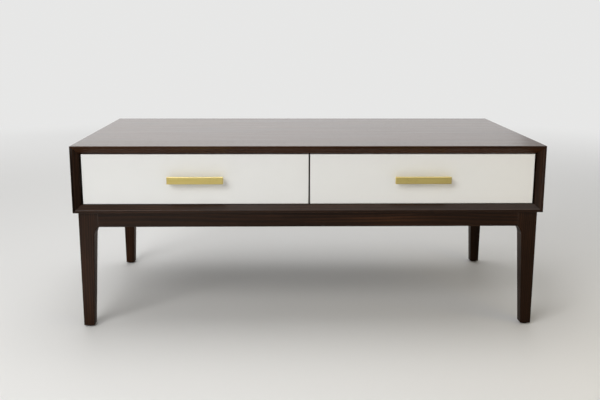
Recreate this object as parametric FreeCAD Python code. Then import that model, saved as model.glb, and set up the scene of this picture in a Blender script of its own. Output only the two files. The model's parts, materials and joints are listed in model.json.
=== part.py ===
import FreeCAD, Part
import math
import os
from collections import namedtuple

# A coffee table with two drawers. Millimetres, +Z up, and the drawers open towards -Y.
# The origin is on the floor, in the middle of the footprint of the case and its pulls.

# Case: four mitred panels with a bevelled front edge, a back panel and a divider
table_width = 1200.0
table_height = 480.0
case_depth = 600.0
case_height = 172.0
panel_thickness = 20.0
edge_lip = 7.0
edge_round = 1.2
bevel_depth = 12.0
arris_round = 1.0
back_thickness = 9.0
back_rebate = 10.0
back_play = 0.5
divider_thickness = 18.0
divider_setback = 3.0
spline_thickness = 4.0
spline_width = 14.0
spline_inset = 12.0
spline_setback = 40.0

# Base: legs with outer faces upright and inner faces tapered, below a cove into the apron
base_inset = 11.0
apron_height = 39.0
apron_thickness = 22.0
apron_round = 2.0
leg_head = 49.0
leg_neck = 38.0
leg_foot = 27.0
leg_round = 2.0
cove_height = 24.0
stretcher_thickness = 22.0
block_reach = 84.0
block_height = 24.0
block_tip = 8.0
block_leg_gap = 1.0
block_screw_inset = 35.0
block_screw_bite = 14.0
glide_radius = 9.0
glide_height = 4.0
glide_round = 1.0
glide_pin_radius = 2.0
glide_pin_length = 14.0

# Drawers: a front set back in the case, and a finger-jointed box behind it
front_recess = 12.0
front_thickness = 18.0
front_round = 1.5
front_side_gap = 5.0
front_head_gap = 2.5
front_foot_gap = 1.2
front_centre_gap = 4.0
box_wall = 12.0
box_round = 1.5
box_floor_gap = 12.0
box_head_gap = 25.0
box_back_gap = 31.0
box_bottom_thickness = 5.0
box_bottom_raise = 10.0
groove_depth = 6.0
groove_end_gap = 0.5
finger_count = 5

# Pulls: a flat bar on two round posts
pull_length = 142.0
pull_height = 18.0
pull_thickness = 8.0
pull_projection = 22.0
pull_round = 1.2
pull_centres = 128.0
post_radius = 5.0
spigot_radius = 3.0
spigot_length = 5.0
spigot_end_gap = 0.5
pull_thread = 10.0

# Slides: three nested steel channels with two ball cages between them
slide_thickness = 12.7
rail_height = 45.0
rail_steel = 1.2
rail_bend = 1.5
rail_lip = 1.4
rail_setback = 2.0
rail_end_gap = 28.0
access_radius = 5.0
ball_radius = 2.1
ball_play = 0.1
balls_per_row = 8
cage_steel = 0.6
cage_play = 0.2
cage_margin = 0.4
cage_length_share = 0.46

# Dowels and screws
dowel_radius = 4.0
dowel_length = 30.0
dowel_chamfer = 1.0
hole_play = 0.05
hole_end_gap = 0.5
panel_bite = 12.0
screw_head_radius = 4.0
screw_head_height = 2.4
screw_shank_radius = 2.0
small_head_radius = 3.4
small_head_height = 1.8
small_shank_radius = 1.7
back_screw_length = 25.0
front_screw_bite = 12.0
rail_screw_cover = 1.5
pull_head_radius = 4.0
pull_head_height = 2.6
pull_shank_radius = 2.0
overrun = 1.0

# Places of repeated pieces, as shares of what carries them
divider_dowel_shares = (0.12, 0.5, 0.88)
apron_dowel_shares = (0.28, 0.72)
stretcher_screw_shares = (0.25, 0.75)
block_screw_share = 0.5
back_screw_width_shares = (0.04, 0.27, 0.5, 0.73, 0.96)
front_screw_width_shares = (0.08, 0.92)
front_screw_height_shares = (0.28, 0.8)
rail_screw_shares = (0.08, 0.5, 0.92)
recess_reach_share = 0.62
recess_width_share = 0.26
recess_depth_share = 0.7
pan_face_share = 0.7
pan_wall_share = 0.45

# Levels and planes that the pieces share
pull_overhang = max(0.0, pull_projection - front_recess)
half_width = table_width / 2
inner_x = half_width - panel_thickness
case_front = (pull_overhang - case_depth) / 2
case_back = case_front + case_depth
case_middle = case_front + case_depth / 2
back_face = case_back - back_thickness
case_bottom = table_height - case_height
inner_floor = case_bottom + panel_thickness
inner_ceiling = table_height - panel_thickness
leg_x = half_width - base_inset
base_front = case_front + base_inset
apron_bottom = case_bottom - apron_height
block_bottom = case_bottom - block_height
front_face = case_front + front_recess
front_back = front_face + front_thickness
front_x = (front_side_gap - inner_x, -front_centre_gap / 2)
front_z = (inner_floor + front_foot_gap, inner_ceiling - front_head_gap)
pull_x = sum(front_x) / 2
pull_z = sum(front_z) / 2
box_x = (slide_thickness - inner_x, -divider_thickness / 2 - slide_thickness)
box_y = (front_back, back_face - box_back_gap)
box_z = (inner_floor + box_floor_gap, inner_ceiling - box_head_gap)
bay_x = (box_x[0] + box_wall, box_x[1] - box_wall)
box_front_back = box_y[0] + box_wall
rail_front = front_back + rail_setback
rail_length = box_y[1] - rail_end_gap - rail_front
rail_z = sum(box_z) / 2
ball_race = 2 * (ball_radius + ball_play)

Vector = FreeCAD.Vector
origin = Vector(0, 0, 0)
right = Vector(1, 0, 0)
back = Vector(0, 1, 0)
up = Vector(0, 0, 1)

Screw = namedtuple("Screw", "head_radius head_height shank_radius length")
base_screw = Screw(screw_head_radius, screw_head_height, screw_shank_radius, block_height + panel_bite)
back_screw = Screw(small_head_radius, small_head_height, small_shank_radius, back_screw_length)
front_screw = Screw(small_head_radius, small_head_height, small_shank_radius, box_wall + front_screw_bite)
rail_bite = min(divider_thickness / 2, box_wall) - rail_screw_cover
rail_screw = Screw(small_head_radius, small_head_height, small_shank_radius, rail_steel + rail_bite)
pull_grip = box_wall + front_thickness
pull_screw = Screw(pull_head_radius, pull_head_height, pull_shank_radius, pull_grip + pull_thread)


def block(x_range, y_range, z_range):
    """A box between the low and the high value of each range."""
    spans = (x_range, y_range, z_range)
    corner = Vector(*(low for low, high in spans))
    return Part.makeBox(*(high - low for low, high in spans), corner)


def outline(corners):
    """A face through corner points, each given with the radius that rounds it."""
    edges = []
    ends = []
    for index, (point, radius) in enumerate(corners):
        before = (corners[index - 1][0] - point).normalize()
        after = (corners[(index + 1) % len(corners)][0] - point).normalize()
        half_angle = before.getAngle(after) / 2
        start = point + before * (radius / math.tan(half_angle))
        end = point + after * (radius / math.tan(half_angle))
        ends.append((start, end))
        if radius:
            bisector = (before + after).normalize()
            crest = point + bisector * (radius / math.sin(half_angle) - radius)
            edges.append(Part.Arc(start, crest, end).toShape())
    for index, (start, end) in enumerate(ends):
        last_end = ends[index - 1][1]
        edges.append(Part.LineSegment(last_end, start).toShape())
    return Part.Face(Part.Wire(Part.__sortEdges__(edges)))


def polygon(points):
    """A face with sharp corners."""
    return outline([(point, 0) for point in points])


def edges_through(shape, points):
    """The edges of a shape that pass through the given points."""
    tolerance = 1e-6
    vertices = [Part.Vertex(point) for point in points]
    return [edge for edge in shape.Edges if any(edge.distToShape(v)[0] < tolerance for v in vertices)]


def carved(shape, tools):
    """The solid that is left of a shape once all the tools are cut out."""
    return shape.cut(tools).Solids[0]


def placed(shape, position, heading):
    """A copy of a shape made along +Z from the origin, turned to a heading and moved to its place."""
    copy = shape.copy()
    copy.Placement = FreeCAD.Placement(position, FreeCAD.Rotation(up, heading))
    return copy


def mirror_x(shape):
    """The image of a shape on the other side of the table's middle, left to right."""
    return shape.mirror(origin, right)


def mirror_y(shape):
    """The image of a shape on the other side of the case's middle, front to back."""
    return shape.mirror(Vector(0, case_middle, 0), back)


def four_corners(shape):
    """A front left shape and its images at the other three corners."""
    rear = mirror_y(shape)
    return [shape, mirror_x(shape), rear, mirror_x(rear)]


def spun(points):
    """The solid of a half section, given as radius and height, turned about Z."""
    return polygon([Vector(radius, 0, height) for radius, height in points]).revolve(origin, up, 360)


def cross_recess(screw, top):
    """The driver recess in a screw head whose top is at a height."""
    reach = screw.head_radius * recess_reach_share
    width = screw.head_radius * recess_width_share
    depth = (top - overrun, top + screw.head_height * recess_depth_share)
    arm = block((-reach, reach), (-width / 2, width / 2), depth)
    return arm.fuse(block((-width / 2, width / 2), (-reach, reach), depth))


def flat_screw(screw):
    """A countersunk wood screw, driven along +Z, with its head flush at the origin."""
    shank_end = screw.length - 2 * screw.shank_radius
    body = spun([
        (0, 0),
        (screw.head_radius, 0),
        (screw.shank_radius, screw.head_height),
        (screw.shank_radius, shank_end),
        (0, screw.length),
    ])
    return carved(body, [cross_recess(screw, 0)])


def flat_hole(screw, pocket):
    """The hole of a countersunk screw, open above its head for the depth of a pocket."""
    head = screw.head_radius + hole_play
    shank = screw.shank_radius + hole_play
    depth = screw.length + hole_end_gap
    return spun([
        (0, -pocket),
        (head, -pocket),
        (head, 0),
        (shank, screw.head_height),
        (shank, depth),
        (0, depth),
    ])


def pan_screw(screw):
    """A machine screw along +Z, with a pan head that seats at the origin."""
    top = -screw.head_height
    body = spun([
        (0, top),
        (screw.head_radius * pan_face_share, top),
        (screw.head_radius, top * pan_wall_share),
        (screw.head_radius, 0),
        (screw.shank_radius, 0),
        (screw.shank_radius, screw.length),
        (0, screw.length),
    ])
    return carved(body, [cross_recess(screw, top)])


def dowel(grown=0, longer=0):
    """A dowel centred on the origin along Z, or the plain hole for it if it is grown."""
    length = dowel_length + 2 * longer
    pin = Part.makeCylinder(dowel_radius + grown, length, Vector(0, 0, -length / 2))
    if grown:
        return pin
    rims = [edge for edge in pin.Edges if edge.Closed]
    return pin.makeChamfer(dowel_chamfer, rims)


def dowels_at(places):
    """The dowels at a list of places, each a position and a heading."""
    pin = dowel()
    return [placed(pin, *place) for place in places]


def dowel_holes(places):
    """The holes for the dowels at a list of places."""
    hole = dowel(hole_play, hole_end_gap)
    return [placed(hole, *place) for place in places]


def panel_section(start, inward, run):
    """The front to back section of a case panel, swept along its run."""
    def point(depth, distance):
        return start + inward * depth + back * distance

    shoulder = panel_thickness - back_rebate
    seat = case_depth - back_thickness
    corners = [
        (point(0, 0), 0),
        (point(0, case_depth), 0),
        (point(shoulder, case_depth), 0),
        (point(shoulder, seat), 0),
        (point(panel_thickness, seat), 0),
        (point(panel_thickness, bevel_depth), arris_round),
        (point(edge_lip, 0), arris_round),
    ]
    return outline(corners).extrude(run)


def corner_line(x, low, high):
    """The case's four corners in turn from the top left, at a half width and two levels."""
    places = ((-x, high), (x, high), (x, low), (-x, low))
    return [Vector(across, case_front, level) for across, level in places]


def case_panels():
    """The top, right, bottom and left panels, mitred where they meet and eased outside."""
    outer = corner_line(half_width, case_bottom, table_height)
    inner = corner_line(inner_x, inner_floor, inner_ceiling)
    hull = block((-half_width, half_width), (case_front, case_back), (case_bottom, table_height))
    hull = hull.makeFillet(edge_round, hull.Edges)
    panels = []
    for index in range(len(outer)):
        following = (index + 1) % len(outer)
        run = outer[following] - outer[index]
        inward = back.cross(run).normalize()
        section = panel_section(outer[index], inward, run)
        wedge = polygon([outer[index], outer[following], inner[following], inner[index]])
        panels.append(section.common(wedge.extrude(back * case_depth)).common(hull).Solids[0])
    return panels


def mitre_splines():
    """The loose tongues that lie square across the four mitres."""
    outer = corner_line(half_width, case_bottom, table_height)
    inner = corner_line(inner_x, inner_floor, inner_ceiling)
    tongues = []
    for outside, inside in zip(outer, inner):
        mitre = (inside - outside).normalize()
        across = back.cross(mitre) * (spline_width / 2)
        along = mitre * (spline_thickness / 2)
        middle = outside + (inside - outside) * (spline_inset / panel_thickness) + back * spline_setback
        near = (middle - across - along, middle + across - along)
        far = (middle + across + along, middle - across + along)
        tongues.append(polygon(near + far).extrude(back * (case_depth - 2 * spline_setback)))
    return tongues


def divider_dowel_places():
    """Dowels between the divider and the panels above and below it."""
    start = front_back + divider_setback
    offset = dowel_length / 2 - panel_bite
    places = []
    for share in divider_dowel_shares:
        y = start + share * (back_face - start)
        places.append((Vector(0, y, inner_floor + offset), up))
        places.append((Vector(0, y, inner_ceiling - offset), up))
    return places


def apron_dowel_places():
    """Dowels between the front left leg and its two aprons, and between stretcher and front apron."""
    places = []
    for share in apron_dowel_shares:
        z = apron_bottom + share * apron_height
        places.append((Vector(leg_head - leg_x, base_front + apron_thickness / 2, z), right))
        places.append((Vector(apron_thickness / 2 - leg_x, base_front + leg_head, z), back))
        places.append((Vector(0, base_front + apron_thickness, z), back))
    return places


def back_panel():
    """The back panel in its rebate."""
    reach = back_rebate - back_play
    x = inner_x + reach
    return block((-x, x), (back_face, case_back), (inner_floor - reach, inner_ceiling + reach))


def back_screw_places():
    """Screws through the back panel into the edges of the four case panels."""
    lap = back_rebate / 2
    places = []
    for share in back_screw_width_shares:
        x = inner_x * (2 * share - 1)
        places.append((Vector(x, case_back, inner_floor - lap), -back))
        places.append((Vector(x, case_back, inner_ceiling + lap), -back))
    for x in (-inner_x - lap, inner_x + lap):
        places.append((Vector(x, case_back, (inner_floor + inner_ceiling) / 2), -back))
    return places


def divider():
    """The upright panel between the two drawers."""
    x = divider_thickness / 2
    return block((-x, x), (front_back + divider_setback, back_face), (inner_floor, inner_ceiling))


def leg_profile():
    """One inner side of a leg: taper, then a cove that runs tangent into a wide head."""
    neck = Vector(leg_neck, 0, apron_bottom - cove_height)
    foot = Vector(leg_foot, 0, glide_height)
    taper = (neck - foot).normalize()
    outward = back.cross(taper)
    to_head = Vector(leg_head - leg_neck, 0, cove_height)
    radius = to_head.dot(to_head) / (2 * to_head.dot(outward))
    centre = neck + outward * radius
    crest = centre + (up - outward).normalize() * radius
    cove_end = centre + up * radius
    edges = [
        Part.LineSegment(Vector(0, 0, glide_height), foot).toShape(),
        Part.LineSegment(foot, neck).toShape(),
        Part.Arc(neck, crest, cove_end).toShape(),
        Part.LineSegment(cove_end, Vector(cove_end.x, 0, case_bottom)).toShape(),
        Part.LineSegment(Vector(cove_end.x, 0, case_bottom), Vector(0, 0, case_bottom)).toShape(),
        Part.LineSegment(Vector(0, 0, case_bottom), Vector(0, 0, glide_height)).toShape(),
    ]
    slab = Part.Face(Part.Wire(edges)).extrude(back * (cove_end.x + overrun))
    return slab.makeFillet(leg_round, edges_through(slab, [(foot + neck) / 2, crest]))


def leg():
    """The front left leg: the same profile seen from the front and from the side."""
    seen_from_front = leg_profile()
    seen_from_side = seen_from_front.mirror(origin, Vector(1, -1, 0))
    head = block((0, leg_head), (0, leg_head), (glide_height, case_bottom))
    post = seen_from_front.common(seen_from_side).common(head).Solids[0]
    outer_edge = edges_through(post, [Vector(0, 0, case_bottom / 2)])
    post = post.makeFillet(leg_round, outer_edge).translated(Vector(-leg_x, base_front, 0))
    pin_depth = glide_pin_length + hole_end_gap
    pin_hole = Part.makeCylinder(glide_pin_radius + hole_play, pin_depth, glide_place())
    return carved(post, dowel_holes(apron_dowel_places()) + [pin_hole])


def glide_place():
    """Where the top of the front left glide meets the foot of its leg."""
    return Vector(leg_foot / 2 - leg_x, base_front + leg_foot / 2, glide_height)


def glide():
    """The front left glide: a disc with a pin in the foot of the leg."""
    disc = Part.makeCylinder(glide_radius, glide_height, glide_place() - up * glide_height)
    rims = [edge for edge in disc.Edges if edge.Closed and edge.CenterOfMass.z < glide_height / 2]
    pin = Part.makeCylinder(glide_pin_radius, glide_pin_length, glide_place())
    return disc.makeFillet(glide_round, rims).fuse(pin).Solids[0]


def eased_rail(x_range, y_range):
    """A rail at the height of the apron, with its two lower long edges eased."""
    bar = block(x_range, y_range, (apron_bottom, case_bottom))
    middle = Vector(sum(x_range) / 2, sum(y_range) / 2, apron_bottom)
    if x_range[1] - x_range[0] > y_range[1] - y_range[0]:
        seats = [Vector(middle.x, y, apron_bottom) for y in y_range]
    else:
        seats = [Vector(x, middle.y, apron_bottom) for x in x_range]
    return bar.makeFillet(apron_round, edges_through(bar, seats))


def block_corner():
    """The corner where the inner faces of the front and left aprons meet."""
    return Vector(apron_thickness - leg_x, base_front + apron_thickness, 0)


def block_notch():
    """How far the leg's head stands out past the inner faces of the aprons, with its clearance."""
    return leg_head - apron_thickness + block_leg_gap


def corner_block():
    """The front left corner block, notched around the leg's head."""
    notch = block_notch()
    points = [
        (notch, 0),
        (block_reach, 0),
        (block_reach, block_tip),
        (block_tip, block_reach),
        (0, block_reach),
        (0, notch),
        (notch, notch),
    ]
    base = block_corner() + up * block_bottom
    return polygon([base + Vector(u, v, 0) for u, v in points]).extrude(up * block_height)


def block_screw_places():
    """The front left corner block's screws: up into the case, and into the front and left aprons."""
    notch = block_notch()
    middle = notch + block_screw_share * ((block_reach + block_tip) / 2 - notch)
    along = notch + block_screw_inset
    seat = base_screw.length - block_screw_bite
    level = block_bottom + block_height / 2
    corner = block_corner()
    return [
        (corner + Vector(middle, middle, block_bottom), up),
        (corner + Vector(along, seat, level), -back),
        (corner + Vector(seat, along, level), -right),
    ]


def stretcher_screw_places():
    """Screws up through the stretcher into the case."""
    start = base_front + apron_thickness
    run = case_depth - 2 * (base_inset + apron_thickness)
    return [(Vector(0, start + share * run, block_bottom), up) for share in stretcher_screw_shares]


def channel(web, rim, half, lip):
    """A rail's section: a web, two flanges out to the rim and a lip turned in on each."""
    way = math.copysign(1, rim - web)
    inside = web + way * rail_steel
    lip_face = rim - way * rail_steel
    low = half - rail_steel
    tight = rail_bend - rail_steel
    upper = [
        (inside, low, tight),
        (lip_face, low, tight),
        (lip_face, low - lip, 0),
        (rim, low - lip, 0),
        (rim, half, rail_bend),
        (web, half, rail_bend),
    ]
    lower = [(u, -v, radius) for u, v, radius in reversed(upper)]
    return outline([(Vector(u, 0, v), radius) for u, v, radius in upper + lower])


def rail_screw_spots(u):
    """The places of a rail's screws along it, at a distance from the case wall."""
    return [Vector(u, share * rail_length, 0) for share in rail_screw_shares]


def ball_cage(web, rim, level):
    """A cage's channel with a row of holes in each flange, and the balls in them."""
    ball_u = rim - cage_margin - ball_race / 2
    half = level + cage_steel / 2
    low = half - cage_steel
    points = [(web, half), (rim, half), (rim, low), (web + cage_steel, low)]
    points += [(u, -v) for u, v in reversed(points)]
    length = cage_length_share * rail_length
    start = (rail_length - length) / 2
    cage = polygon([Vector(u, start, v) for u, v in points]).extrude(back * length)
    pitch = length / balls_per_row
    rows = [start + pitch * (index + 1 / 2) for index in range(balls_per_row)]
    hole_bottom = -half - overrun
    holes = []
    balls = []
    for y in rows:
        holes.append(Part.makeCylinder(ball_race / 2, -2 * hole_bottom, Vector(ball_u, y, hole_bottom)))
        balls += [Part.makeSphere(ball_radius, Vector(ball_u, y, side * level)) for side in (-1, 1)]
    return Part.makeCompound([carved(cage, holes)] + balls)


def slide():
    """One slide, with its web on the plane x = 0, its front at y = 0 and its middle at z = 0."""
    half = rail_height / 2
    middle_half = half - rail_steel - ball_race
    drawer_half = middle_half - rail_steel - ball_race
    outer_cage_web = rail_steel + cage_play
    middle_web = outer_cage_web + cage_steel + cage_play
    inner_cage_web = middle_web + rail_steel + cage_play
    drawer_rim = inner_cage_web + cage_steel + cage_play
    cage_rim = drawer_rim + ball_race + cage_margin
    rail_rim = cage_rim + cage_play + rail_steel
    travel = back * rail_length
    case_spots = rail_screw_spots(rail_steel)
    drawer_spots = rail_screw_spots(slide_thickness - rail_steel)
    hole = flat_hole(rail_screw, overrun)
    pin = flat_screw(rail_screw)
    case_holes = [placed(hole, spot, -right) for spot in case_spots]
    drawer_holes = [placed(hole, spot, right) for spot in drawer_spots]
    reach = rail_steel + 2 * overrun
    access = [Part.makeCylinder(access_radius, reach, spot - right * overrun, right)
              for spot in rail_screw_spots(middle_web)]
    case_rail = channel(0, rail_rim, half, rail_lip).extrude(travel)
    middle_rail = channel(middle_web, rail_rim, middle_half, rail_lip).extrude(travel)
    drawer_rail = channel(slide_thickness, drawer_rim, drawer_half, rail_lip).extrude(travel)
    return {
        "case_rail": carved(case_rail, case_holes),
        "middle_rail": carved(middle_rail, access),
        "drawer_rail": carved(drawer_rail, drawer_holes),
        "outer_cage": ball_cage(outer_cage_web, cage_rim, half - rail_steel - ball_race / 2),
        "inner_cage": ball_cage(inner_cage_web, cage_rim, middle_half - rail_steel - ball_race / 2),
        "case_screws": Part.makeCompound([placed(pin, spot, -right) for spot in case_spots]),
        "drawer_screws": Part.makeCompound([placed(pin, spot, right) for spot in drawer_spots]),
        "case_holes": Part.makeCompound(case_holes),
        "drawer_holes": Part.makeCompound(drawer_holes),
    }


def at_end(shape):
    """A slide's piece moved to the left side panel."""
    return shape.translated(Vector(-inner_x, rail_front, rail_z))


def at_centre(shape):
    """A slide's piece turned round and moved to the left face of the divider."""
    return mirror_x(shape).translated(Vector(-divider_thickness / 2, rail_front, rail_z))


def pull_spots(y):
    """The two post centres of the left pull on a plane."""
    return [Vector(pull_x + side * pull_centres / 2, y, pull_z) for side in (-1, 1)]


def pull_bar():
    """The left pull's bar, with a socket for each post."""
    bar_back = front_face - pull_projection + pull_thickness
    x_range = (pull_x - pull_length / 2, pull_x + pull_length / 2)
    z_range = (pull_z - pull_height / 2, pull_z + pull_height / 2)
    bar = block(x_range, (bar_back - pull_thickness, bar_back), z_range)
    socket_depth = spigot_length + spigot_end_gap
    sockets = [Part.makeCylinder(spigot_radius + hole_play, socket_depth, spot, -back)
               for spot in pull_spots(bar_back)]
    return carved(bar.makeFillet(pull_round, bar.Edges), sockets)


def pull_posts():
    """The left pull's posts, each with a spigot in the bar and a bore for its screw."""
    length = pull_projection - pull_thickness
    posts = []
    for spot in pull_spots(front_face):
        post = Part.makeCylinder(post_radius, length, spot, -back)
        spigot = Part.makeCylinder(spigot_radius, length + spigot_length, spot, -back)
        bore = Part.makeCylinder(pull_shank_radius + hole_play, pull_thread + hole_end_gap, spot, -back)
        posts.append(carved(post.fuse(spigot), [bore]))
    return posts


def pull_screw_holes():
    """The clear holes for the left pull's screws through the drawer front and the box front."""
    reach = pull_grip + 2 * overrun
    return [Part.makeCylinder(pull_shank_radius + hole_play, reach, spot, back)
            for spot in pull_spots(front_face - overrun)]


def front_screw_places():
    """Screws from inside the left drawer's box into its front."""
    places = []
    for width_share in front_screw_width_shares:
        x = bay_x[0] + width_share * (bay_x[1] - bay_x[0])
        for height_share in front_screw_height_shares:
            z = box_z[0] + height_share * (box_z[1] - box_z[0])
            places.append((Vector(x, box_front_back, z), -back))
    return places


def finger_tabs(y_range):
    """The fingers of the box front or back that reach through the two sides of the left box."""
    pitch = (box_z[1] - box_z[0]) / finger_count
    tabs = []
    for index in range(1, finger_count, 2):
        z_range = (box_z[0] + index * pitch, box_z[0] + (index + 1) * pitch)
        tabs.append(block((box_x[0], bay_x[0]), y_range, z_range))
        tabs.append(block((bay_x[1], box_x[1]), y_range, z_range))
    return tabs


def box_bottom(gap):
    """The left box's bottom panel in its grooves, or with no gap the room for it."""
    reach = groove_depth - gap
    x_range = (bay_x[0] - reach, bay_x[1] + reach)
    y_range = (box_front_back - reach, box_y[1] - box_wall + reach)
    z_low = box_z[0] + box_bottom_raise
    return block(x_range, y_range, (z_low, z_low + box_bottom_thickness))


def eased_top(board):
    """A box board with the long edges of its top eased."""
    box = board.BoundBox
    long_in_x = box.XLength > box.YLength
    middle = box.Center
    if long_in_x:
        spots = [Vector(middle.x, y, box.ZMax) for y in (box.YMin, box.YMax)]
    else:
        spots = [Vector(x, middle.y, box.ZMax) for x in (box.XMin, box.XMax)]
    return board.makeFillet(box_round, edges_through(board, spots))


def drawer_box(drawer_holes):
    """The boards of the left drawer's box, by name."""
    front_y = (box_y[0], box_front_back)
    back_y = (box_y[1] - box_wall, box_y[1])
    front_tabs = finger_tabs(front_y)
    back_tabs = finger_tabs(back_y)
    groove = box_bottom(0)
    front_holes = [placed(flat_hole(front_screw, overrun), *place) for place in front_screw_places()]
    boards = {}
    for name, x_range in (("end_side", (box_x[0], bay_x[0])), ("centre_side", (bay_x[1], box_x[1]))):
        side = eased_top(block(x_range, box_y, box_z))
        boards[name] = carved(side, front_tabs + back_tabs + [groove] + drawer_holes)
    box_front = eased_top(block(bay_x, front_y, box_z)).fuse(front_tabs).removeSplitter()
    boards["box_front"] = carved(box_front, [groove] + front_holes + pull_screw_holes())
    box_back = eased_top(block(bay_x, back_y, box_z)).fuse(back_tabs).removeSplitter()
    boards["back"] = carved(box_back, [groove])
    boards["bottom"] = box_bottom(groove_end_gap)
    return boards


def drawer_front():
    """The left drawer's front, eased all round its face."""
    panel = block(front_x, (front_face, front_back), front_z)
    face_edges = [edge for edge in panel.Edges if edge.BoundBox.YMax < (front_face + front_back) / 2]
    holes = [placed(flat_hole(front_screw, overrun), *place) for place in front_screw_places()]
    return carved(panel.makeFillet(front_round, face_edges), holes + pull_screw_holes())


def case_nodes(slide_pieces):
    """The case: panels, divider, back panel and what joins them."""
    top, right_side, bottom, left_side = case_panels()
    splines = mitre_splines()
    divider_holes = dowel_holes(divider_dowel_places())
    back_holes = [placed(flat_hole(back_screw, overrun), *place) for place in back_screw_places()]
    base_hole = flat_hole(base_screw, overrun)
    upward = block_screw_places()[0]
    base_holes = four_corners(placed(base_hole, *upward))
    base_holes += [placed(base_hole, *place) for place in stretcher_screw_places()]
    end_holes = at_end(slide_pieces["case_holes"]).Solids
    centre_holes = at_centre(slide_pieces["case_holes"])
    rail_holes = centre_holes.Solids + mirror_x(centre_holes).Solids
    left_side = carved(left_side, splines + back_holes + end_holes)
    back_pin = flat_screw(back_screw)
    return {
        "top_panel": carved(top, splines + back_holes + divider_holes),
        "bottom_panel": carved(bottom, splines + back_holes + divider_holes + base_holes),
        "left_side_panel": left_side,
        "right_side_panel": mirror_x(left_side),
        "mitre_splines": Part.makeCompound(splines),
        "back_panel": carved(back_panel(), back_holes),
        "back_panel_screws": Part.makeCompound([placed(back_pin, *place) for place in back_screw_places()]),
        "centre_divider": carved(divider(), divider_holes + rail_holes),
    }


def base_nodes():
    """The base: legs, aprons, stretcher, corner blocks and what joins them."""
    pin = flat_screw(base_screw)
    pocket = flat_hole(base_screw, block_reach)
    screws = block_screw_places()
    holes = [placed(pocket, *place) for place in screws]
    corner_holes = dowel_holes(apron_dowel_places())
    apron_holes = corner_holes + holes
    front_run = (leg_head - leg_x, leg_x - leg_head)
    front_apron = eased_rail(front_run, (base_front, base_front + apron_thickness))
    front_apron = carved(front_apron, apron_holes + [mirror_x(hole) for hole in apron_holes])
    side_run = (base_front + leg_head, case_back - base_inset - leg_head)
    left_apron = eased_rail((-leg_x, apron_thickness - leg_x), side_run)
    left_apron = carved(left_apron, apron_holes + [mirror_y(hole) for hole in apron_holes])
    stretcher_run = (base_front + apron_thickness, case_back - base_inset - apron_thickness)
    stretcher = eased_rail((-stretcher_thickness / 2, stretcher_thickness / 2), stretcher_run)
    stretcher_screws = stretcher_screw_places()
    stretcher_holes = corner_holes + [mirror_y(hole) for hole in corner_holes]
    stretcher_holes += [placed(pocket, *place) for place in stretcher_screws]
    legs = four_corners(leg())
    base_pins = [corner for place in screws for corner in four_corners(placed(pin, *place))]
    base_pins += [placed(pin, *place) for place in stretcher_screws]
    return {
        "front_apron": front_apron,
        "rear_apron": mirror_y(front_apron),
        "left_apron": left_apron,
        "right_apron": mirror_x(left_apron),
        "front_left_leg": legs[0],
        "front_right_leg": legs[1],
        "rear_left_leg": legs[2],
        "rear_right_leg": legs[3],
        "centre_stretcher": carved(stretcher, stretcher_holes),
        "corner_blocks": Part.makeCompound(four_corners(carved(corner_block(), holes))),
        "base_screws": Part.makeCompound(base_pins),
        "leg_glides": Part.makeCompound(four_corners(glide())),
    }


def all_dowels():
    """Every dowel of the case and the base."""
    pins = dowels_at(divider_dowel_places())
    for pin in dowels_at(apron_dowel_places()):
        on_middle = abs(pin.BoundBox.Center.x) < dowel_radius
        pins += [pin, mirror_y(pin)] if on_middle else four_corners(pin)
    return Part.makeCompound(pins)


def left_drawer_nodes(slide_pieces):
    """The left drawer and its slides."""
    end_holes = at_end(slide_pieces["drawer_holes"]).Solids
    centre_holes = at_centre(slide_pieces["drawer_holes"]).Solids
    nodes = {f"drawer_{name}": shape for name, shape in drawer_box(end_holes + centre_holes).items()}
    front_pin = flat_screw(front_screw)
    pull_pin = pan_screw(pull_screw)
    front_pins = [placed(front_pin, *place) for place in front_screw_places()]
    pull_pins = [placed(pull_pin, spot, -back) for spot in pull_spots(box_front_back)]
    nodes["drawer_front"] = drawer_front()
    nodes["drawer_front_screws"] = Part.makeCompound(front_pins)
    nodes["pull_bar"] = pull_bar()
    nodes["pull_posts"] = Part.makeCompound(pull_posts())
    nodes["pull_screws"] = Part.makeCompound(pull_pins)
    for rail in ("case_rail", "middle_rail", "drawer_rail"):
        nodes[f"end_{rail}"] = at_end(slide_pieces[rail])
        nodes[f"centre_{rail}"] = at_centre(slide_pieces[rail])
    for name, piece in (("outer_ball_cages", "outer_cage"), ("inner_ball_cages", "inner_cage"),
                        ("drawer_rail_screws", "drawer_screws")):
        pair = at_end(slide_pieces[piece]).Solids + at_centre(slide_pieces[piece]).Solids
        nodes[name] = Part.makeCompound(pair)
    return nodes


def case_rail_screws(slide_pieces):
    """The screws that hold the four case rails."""
    pins = at_end(slide_pieces["case_screws"]).Solids + at_centre(slide_pieces["case_screws"]).Solids
    return Part.makeCompound(pins + [mirror_x(pin) for pin in pins])


def table():
    """Every node of the table, by name."""
    slide_pieces = slide()
    nodes = case_nodes(slide_pieces)
    nodes.update(base_nodes())
    nodes["dowels"] = all_dowels()
    nodes["case_rail_screws"] = case_rail_screws(slide_pieces)
    for name, shape in left_drawer_nodes(slide_pieces).items():
        nodes[f"left_{name}"] = shape
        nodes[f"right_{name}"] = mirror_x(shape)
    return nodes


os.makedirs("parts", exist_ok=True)
for node_name, node_shape in table().items():
    node_shape.exportStep(f"parts/{node_name}.step")
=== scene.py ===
"""Looks of a low coffee table: a dark stained case, two white drawers and brass bar pulls.

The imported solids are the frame, in metres, with +Z up and the drawers opening towards -Y.
The wooden boards are copied with their sharp arrises eased, every piece gets its finish,
and a pale studio with soft light stands around the table.
"""

import json
import logging
import math
import random
from dataclasses import dataclass, field, replace
from enum import Enum
from typing import Any, Callable, Mapping, Sequence, Union

import bmesh
import bpy
from mathutils import Matrix, Vector

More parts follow.
